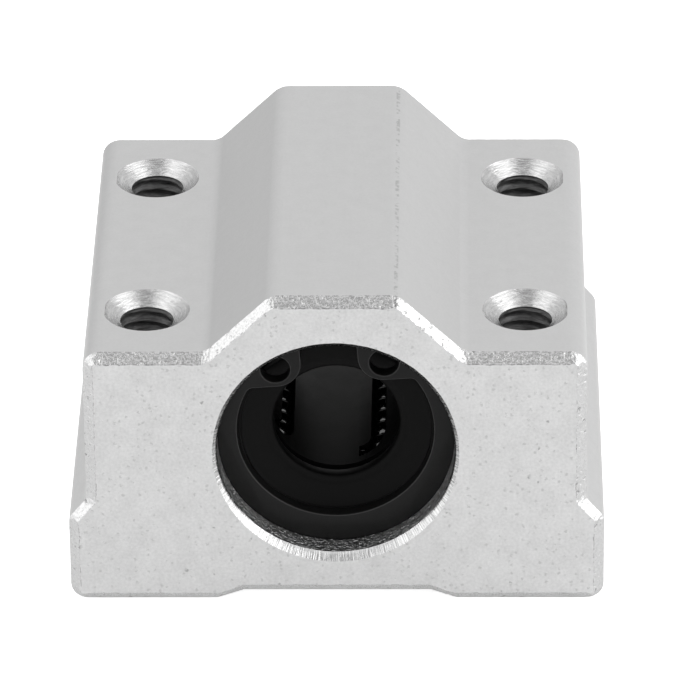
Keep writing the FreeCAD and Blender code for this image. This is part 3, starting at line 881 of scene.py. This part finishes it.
    def turn_hole(self, x: float, y: float, start: float) -> None:
        """Turns one fixing hole: a countersink, a thread and a plain lower end.

        Args:
            x: The hole's place across the block.
            y: The hole's place along the shaft.
            start: Where the turn starts, so that no two holes have vertices in line.
        """
        top = self.flange_height
        cone_end = (top - self.cone_depth(), self.hole_radius)
        thread_end = (top - self.thread_length, self.hole_radius)
        rows = round(self.thread_length / self.thread_pitch * self.thread_rows)
        profile = spaced((top, self.countersink_radius), cone_end, self.countersink_rows)
        profile += spaced(cone_end, thread_end, rows) + [thread_end, (0.0, self.hole_radius)]
        outermost = self.half_body - self.flange_round - self.margin
        side = Vector((math.cos(start), math.sin(start), 0.0))
        for vert in turn_profile(self.bm, profile, Vector((x, y, 0.0)), UP, side, self.hole_steps):
            spoke = Vector((vert.co.x - x, vert.co.y - y, 0.0))
            radius = max(spoke.length, self.thread_reach(spoke, vert.co.z))
            if 0 < top - vert.co.z < self.cone_depth():
                radius += unevenness(vert.co, self.countersink_waves) * self.countersink_chatter
            vert.co = Vector((x, y, vert.co.z)) + spoke.normalized() * radius
            vert.co.x = max(-outermost, min(outermost, vert.co.x))

    def cone_depth(self) -> float:
        """How deep the countersink is."""
        return (self.countersink_radius - self.hole_radius) / math.tan(self.countersink_slope)

    def thread_reach(self, spoke: Vector, z: float) -> float:
        """How far the thread's groove reaches from the hole's axis.

        Args:
            spoke: The direction round the hole.
            z: The height.

        Returns:
            The radius of the thread there, or 0 below it.
        """
        thread_end = self.flange_height - self.thread_length
        if z < thread_end + SAME_PLACE:
            return 0.0
        turn = math.atan2(spoke.y, spoke.x) / math.tau
        phase = (z / self.thread_pitch - turn) % 1.0
        groove = min(1.0, (0.5 - abs(phase - 0.5)) / self.thread_flank)
        below_land = self.flange_height - self.cone_depth() - self.thread_land - z
        run_in = max(0.0, min(1.0, below_land / self.thread_run_in))
        run_out = min(1.0, (z - thread_end) / self.thread_pitch)
        return self.hole_radius + (self.thread_radius - self.hole_radius) * groove * run_in * run_out

    def finish_surfaces(self) -> None:
        """Gives every face its material and its shading."""
        self.bm.normal_update()
        turned = (Surface.THREAD, Surface.BORE, Surface.MOUTH, Surface.COUNTERSINK)
        for face in self.bm.faces:
            surface = self.surface_of(face)
            face.material_index = surface.value
            face.smooth = surface in turned or (surface is Surface.EXTRUDED and not self.is_flat(face))
        for edge in self.bm.edges:
            kinds = {face.material_index for face in edge.link_faces}
            edge.smooth = len(kinds) == 1 and edge.calc_face_angle(0.0) < SHARP_ANGLE

    def mark_edges(self) -> None:
        """Stores where the edges are painted darker: the chamfers' inner borders, where burred edges carry
        painted shade, and a line along the boss's right top edge.
        """
        layer = self.bm.verts.layers.float.new(DARK_EDGE_MASK)
        border = {Surface.END_CHAMFER.value, Surface.END_FACE.value}
        for vert in self.bm.verts:
            beside_dark_line = abs(vert.co.x - self.dark_line_edge) < self.dark_line_reach
            on_dark_line = beside_dark_line and vert.co.z > self.flange_height
            vert[layer] = float(on_dark_line or border <= {face.material_index for face in vert.link_faces})

    def is_flat(self, face: BMFace) -> bool:
        """Whether a long face is one of the flats, not a strip of a rounded corner."""
        shortest = min(edge.calc_length() for edge in face.edges)
        return shortest > self.widest_strip or len(face.verts) > self.strip_corners

    def surface_of(self, face: BMFace) -> Surface:
        """Which of the housing's surfaces a face belongs to.

        Args:
            face: The face.

        Returns:
            Its surface.
        """
        middle = face.calc_center_median()
        reach = math.hypot(middle.x, middle.z - SHAFT[2])
        depth = self.half_length - abs(middle.y)
        if reach < self.bore_radius + self.mouth_chamfer + self.mouth_room and depth > self.margin:
            return Surface.MOUTH if depth < self.mouth_chamfer else Surface.BORE
        if depth < 2 * self.margin:
            return Surface.END_FACE
        if depth < self.end_chamfer and abs(face.normal.y) > self.chamfer_lean:
            return Surface.END_CHAMFER
        spread = math.hypot(abs(middle.x) - HOLE[0], abs(middle.y) - HOLE[1])
        sunk = self.margin < middle.z < self.flange_height - self.margin
        if spread < self.countersink_radius and sunk:
            cone = self.flange_height - middle.z < self.cone_depth()
            return Surface.COUNTERSINK if cone else Surface.THREAD
        return Surface.EXTRUDED


# Bearing and circlips

@dataclass
class Circlips:
    """The two circlips, with their stamped edges broken."""

    edge_break: float = 0.07 * MM
    edge_segments: int = 3

    def build(self, face: bpy.types.Material, edge: bpy.types.Material) -> None:
        """Makes both circlips.

        Args:
            face: The finish of the flat faces.
            edge: The finish of the broken edges, where the coating is thin, with a lighter colour that paints
                a highlight along them.
        """
        for end in ("front", "rear"):
            bm = merged_copy(f"circlip_{end}")
            bm.normal_update()
            sharp = [item for item in bm.edges if item.calc_face_angle(0.0) > SHARP_ANGLE]
            bmesh.ops.bevel(bm, geom=sharp, offset=self.edge_break, offset_type="OFFSET", affect="EDGES",
                            segments=self.edge_segments, profile=0.5, material=1, clamp_overlap=True)
            smooth_by_angle(bm)
            make_piece(bm, f"{end}_circlip", [face, edge], [f"circlip_{end}"])


@dataclass
class Seals:
    """The two rubber seals, turned with a rim, a sunk face, a groove and a rounded lip.

    The points of the rim and the lip are in millimetres: how deep they lie below the seal's end,
    and how far inside the outer radius or outside the shaft.
    """

    shaft_radius: float = 4.0 * MM
    outer_radius: float = 6.45 * MM
    end: float = 12.0 * MM
    back: float = 10.1 * MM
    back_clearance: float = 0.08 * MM
    rim: tuple[Point, ...] = ((0.1, 0.0), (0.0, 0.1), (0.0, 0.3), (0.06, 0.38), (0.22, 0.42), (0.3, 0.55))
    lip: tuple[Point, ...] = ((0.84, 0.7), (0.865, 0.62), (0.88, 0.52), (0.885, 0.4), (0.9, 0.28),
                              (0.93, 0.18), (0.99, 0.08), (1.08, 0.02), (1.16, 0.0), (1.5, 0.0))
    steps: int = 160

    def profile(self) -> list[Point]:
        """The seal's section as (distance from the middle of the shaft, radius) points."""
        back = (self.back, self.shaft_radius + self.back_clearance)
        rim = [(self.end - depth * MM, self.outer_radius - inset * MM) for depth, inset in self.rim]
        lip = [(self.end - depth * MM, self.shaft_radius + rise * MM) for depth, rise in self.lip]
        return [back, (self.back, self.outer_radius)] + rim + lip + [back]

    def build(self, rubber: bpy.types.Material) -> None:
        """Makes both seals of the given rubber."""
        for name, sign in (("front", -1), ("rear", 1)):
            bm = bmesh.new()
            profile = [(sign * along, radius) for along, radius in self.profile()]
            turn_profile(bm, profile, Vector(SHAFT), ALONG, UP, self.steps)
            bmesh.ops.remove_doubles(bm, verts=bm.verts, dist=SAME_PLACE)
            bmesh.ops.recalc_face_normals(bm, faces=bm.faces)
            smooth_by_angle(bm)
            make_piece(bm, f"{name}_seal", [rubber], [f"seal_{name}"])


@dataclass
class BallLoops:
    """The balls of the four loops: true spheres, where the model has flat-faced ones."""

    radius: float = 0.75 * MM
    meridians: int = 24
    bands: int = 14
    loops: int = 4

    def centres(self, node: str) -> list[Vector]:
        """The middles of a node's separate solids."""
        bm = node_copy(node)
        left = set(bm.verts)
        middles = []
        while left:
            found = [left.pop()]
            for vert in found:
                beside = {edge.other_vert(vert) for edge in vert.link_edges} & left
                left -= beside
                found.extend(beside)
            middles.append(sum((vert.co for vert in found), Vector()) / len(found))
        bm.free()
        return sorted(middles, key=lambda middle: middle.y)

    def build(self, chrome: bpy.types.Material) -> None:
        """Makes one piece for each node of balls."""
        for row in ("load", "return"):
            for number in range(1, self.loops + 1):
                node = f"{row}_balls_{number}"
                bm = bmesh.new()
                for middle in self.centres(node):
                    bmesh.ops.create_uvsphere(bm, u_segments=self.meridians, v_segments=self.bands,
                                              radius=self.radius, matrix=Matrix.Translation(middle))
                for face in bm.faces:
                    face.smooth = True
                make_piece(bm, f"{row}_row_{number}", [chrome], [node])


@dataclass
class BearingShell:
    """The sleeve, the side rings and the cage, as in the model but with smooth rounds."""

    parts: tuple[tuple[str, str, str], ...] = (
        ("outer_sleeve", "bearing_sleeve", "sleeve"),
        ("side_ring_front", "front_side_ring", "side_rings"),
        ("side_ring_rear", "rear_side_ring", "side_rings"),
        ("ball_cage", "moulded_cage", "cage"),
    )

    def build(self, materials: dict[str, bpy.types.Material]) -> None:
        """Makes the pieces, with a material for each slot."""
        for node, name, slot in self.parts:
            bm = merged_copy(node)
            smooth_by_angle(bm)
            make_piece(bm, name, [materials[slot]], [node])


# Studio

@dataclass(frozen=True)
class Card:
    """A grey card beside the block, which only its glossy surfaces see."""

    name: str
    direction: tuple[float, float, float]
    distance: float
    size: float
    colour: float


@dataclass
class Studio:
    """The camera, the pale floor, the white surroundings and the soft lamps."""

    camera_place: tuple[float, float, float] = (0.007285, -0.379422, 0.221658)
    camera_pitch: float = math.radians(-29.059)
    camera_yaw: float = math.radians(-1.090)
    camera_roll: float = math.radians(-0.603)
    lens: float = 353.45
    sensor: float = 36.0
    nearest: float = 0.01
    floor_size: float = 4.0
    floor_gap: float = 0.02 * MM
    floor_colour: float = 0.8
    floor_glow: float = 0.75
    floor_gleam: float = 0.3
    ambient: float = 0.75
    box_size: float = 0.6
    box_distance: float = 0.62
    box_direction: tuple[float, float, float] = (0.9, -0.13, 0.4)
    left_power: float = 0.8
    right_power: float = 2.0
    cards: tuple[Card, ...] = (
        Card("overhead_card", (0.0, -0.485, 0.873), distance=0.36, size=0.22, colour=0.47),
        Card("zenith_card", (0.0, -0.12, 0.99), distance=0.36, size=0.13, colour=0.5),
        Card("left_card", (-0.482, 0.875, 0.0), distance=0.6, size=0.4, colour=0.69),
        Card("left_low_card", (-0.482, 0.875, 0.0), distance=0.075, size=0.05, colour=0.68),
        Card("right_card", (0.482, 0.875, 0.0), distance=0.6, size=0.4, colour=0.95),
        Card("right_low_card", (0.482, 0.875, 0.0), distance=0.075, size=0.05, colour=0.95),
        Card("left_reflector", (-0.46, 0.06, 0.87), distance=0.45, size=0.22, colour=1.8),
        Card("right_reflector", (0.46, 0.06, 0.87), distance=0.45, size=0.22, colour=2.0),
    )

    def build(self) -> None:
        """Makes everything round the block."""
        self.add_camera()
        self.add_floor()
        self.add_world()
        self.add_softboxes()
        for card in self.cards:
            self.add_card(card)
        bpy.context.scene.view_settings.view_transform = "Standard"
        log.info("studio: camera, floor, world, two softboxes and %d cards", len(self.cards))

    def add_camera(self) -> None:
        """Sets the camera at the photograph's place."""
        turn = (Matrix.Rotation(-self.camera_yaw, 4, "Z")
                @ Matrix.Rotation(math.pi / 2 + self.camera_pitch, 4, "X")
                @ Matrix.Rotation(self.camera_roll, 4, "Z"))
        data = bpy.data.cameras.new("camera")
        data.lens = self.lens
        data.sensor_width = self.sensor
        data.sensor_fit = "HORIZONTAL"
        data.clip_start = self.nearest
        camera = link_object("camera", data)
        camera.matrix_world = Matrix.Translation(self.camera_place) @ turn
        bpy.context.scene.camera = camera

    def square(self, size: float, place: Matrix) -> BMesh:
        """A flat square of the given size, at a place."""
        bm = bmesh.new()
        bmesh.ops.create_grid(bm, x_segments=1, y_segments=1, size=size / 2, matrix=place)
        return bm

    def add_floor(self) -> None:
        """Lays the pale floor that takes the block's shadow."""
        sheet = MaterialSheet("pale_floor")
        matt = sheet.add("BsdfDiffuse", {"Color": grey(self.floor_colour)})
        path = sheet.add("LightPath").outputs
        glow = sheet.calc("MULTIPLY", path["Is Camera Ray"], self.floor_glow)
        gleam = sheet.calc("MULTIPLY", path["Is Glossy Ray"], self.floor_gleam)
        shine = sheet.add("Emission", {"Color": grey(1.0), "Strength": sheet.calc("ADD", glow, gleam)})
        both = sheet.add("AddShader", {0: matt.outputs[0], 1: shine.outputs[0]})
        bm = self.square(self.floor_size, Matrix.Translation((0.0, 0.0, -self.floor_gap)))
        floor = link_mesh(bm, "floor", [sheet.cover(both)])

    def add_world(self) -> None:
        """Surrounds the block with white, and lights it evenly."""
        world = bpy.data.worlds.new("white_tent")
        world.use_nodes = True
        bpy.context.scene.world = world
        sheet = Wiring(world.node_tree)
        path = sheet.add("LightPath").outputs
        gloss = sheet.calc("MAXIMUM", path["Is Camera Ray"], path["Is Glossy Ray"])
        seen = sheet.calc("MAXIMUM", gloss, path["Is Transmission Ray"])
        light = sheet.add("Background", {"Color": grey(1.0), "Strength": self.ambient})
        white = sheet.add("Background", {"Color": grey(1.0), "Strength": 1.0})
        both = sheet.add("MixShader", {0: seen, 1: light.outputs[0], 2: white.outputs[0]})
        sheet.add("OutputWorld", {"Surface": both.outputs[0]})

    def add_softboxes(self) -> None:
        """Hangs a large soft lamp at each side, a little in front of the block."""
        lamps = ((-1, "left_softbox", self.left_power), (1, "right_softbox", self.right_power))
        for side, name, power in lamps:
            data = bpy.data.lights.new(name, "AREA")
            data.shape = "SQUARE"
            data.size = self.box_size
            data.energy = power
            x, y, z = self.box_direction
            direction = Vector((side * x, y, z)).normalized()
            lamp = link_object(name, data)
            lamp.location = direction * self.box_distance
            lamp.rotation_euler = direction.to_track_quat("Z", "Y").to_euler()

    def add_card(self, card: Card) -> None:
        """Hangs one card."""
        direction = Vector(card.direction).normalized()
        turn = direction.to_track_quat("Z", "Y").to_matrix().to_4x4()
        sheet = MaterialSheet(card.name)
        glow = sheet.add("Emission", {"Color": grey(card.colour), "Strength": 1.0})
        bm = self.square(card.size, Matrix.Translation(direction * card.distance) @ turn)
        panel = link_mesh(bm, card.name, [sheet.cover(glow)])
        panel.visible_camera = False
        panel.visible_diffuse = False
        panel.visible_shadow = False
        panel.visible_transmission = False


# The block's finishes

HOUSING_FINISHES = (
    # Its darkened edge is only the line along the boss's right top edge.
    Aluminium("extruded_aluminium", colour=0.563, roughness=0.48, tones=(0.98, 1.02),
              bump=0.0015 * MM, lines=0.05, edge_darkening=0.3, edge_darkening_scale=1300.0),
    Aluminium("blasted_end_face", colour=0.645, roughness=0.45, tones=(0.9, 1.1), bump=0.008 * MM,
              fine_share=0.6, specks=(Specks(1700.0, 0.06, 0.18, colour=0.387, depth=0.5),
                                      Specks(2600.0, 0.4, 0.4, colour=0.516))),
    # Its inner borders are painted darker in broken dots: burred edges, with painted shade along them.
    Aluminium("sawn_chamfer", colour=0.6, roughness=0.22, tones=(0.9, 1.1), bump=0.055 * MM,
              fine=6500.0, fine_share=0.8, edge_darkening=0.65,
              specks=(Specks(2600.0, 0.2, 0.35, colour=0.39, depth=0.5),)),
    CutMetal("countersink", colour=0.52, roughness=0.22, around=3.5, along=5200.0, bump=0.045 * MM,
             tones=(0.85, 1.15), mirrored=True, centre=HOLE, turn=(0.0, 0.0, 0.0)),
    # The tapped thread: a dark matt grey that paints the shade deep in the hole, and a wide tone swing in its
    # tool marks that paints light arcs as highlights on the thread.
    CutMetal("tapped_thread", colour=0.1, roughness=0.4, around=2.0, along=4200.0, bump=0.03 * MM,
             tones=(0.2, 1.8), metallic=0.0, mirrored=True, centre=HOLE, turn=(0.0, 0.0, 0.0)),
    CutMetal("bore_mouth", colour=0.6, roughness=0.25, around=60.0, along=400.0, bump=0.06 * MM,
             tones=(0.7, 1.3)),
    CutMetal("bored_wall", colour=0.7, roughness=0.35, around=25.0, along=3000.0, bump=0.03 * MM,
             tones=(0.6, 1.4), grain_bump=0.36 * MM, grain_tone=0.5),
)
PHOSPHATED = Dark("phosphated_steel", colour=0.007, roughness=0.42, specular=0.18)
# The circlips' broken edges: a thinner, glossier coating, and a colour lighter than the faces' that paints
# the highlight along their rims.
WORN_EDGE_HIGHLIGHT = Dark("thin_phosphate_highlight", colour=0.02, roughness=0.3, specular=0.4, metallic=0.15)
RUBBER = Dark("seal_rubber", colour=0.004, roughness=0.5, specular=0.09, bump=0.006 * MM,
              specks=(Specks(900.0, 0.04, 0.12, colour=0.05),))
MOULDED = Dark("moulded_cage", colour=0.003, roughness=0.4, specular=0.08,
               specks=(Specks(900.0, 0.04, 0.12, colour=0.04),))
GROUND = Bright("ground_steel", colour=0.45, roughness=0.3)
STAMPED = Bright("stamped_steel", colour=0.3, roughness=0.4)
# Far darker than polished steel, with its grazing reflection damped by the edge tint: painted shade for the
# dark bore that the balls reflect, leaving small glints.
CHROME = Bright("polished_balls", colour=0.12, roughness=0.04, edge_tint=0.15)


def main() -> None:
    """Builds the studio and every piece, in order."""
    logging.basicConfig(level=logging.INFO, format="%(name)s: %(message)s")
    effects = Effects()
    Studio().build()
    Housing().build([finish.build(effects) for finish in HOUSING_FINISHES])
    Circlips().build(PHOSPHATED.build(effects), WORN_EDGE_HIGHLIGHT.build(effects))
    Seals().build(RUBBER.build(effects))
    BearingShell().build({
        "sleeve": GROUND.build(effects),
        "side_rings": STAMPED.build(effects),
        "cage": MOULDED.build(effects),
    })
    BallLoops().build(CHROME.build(effects))


if __name__ == "__main__":
    main()
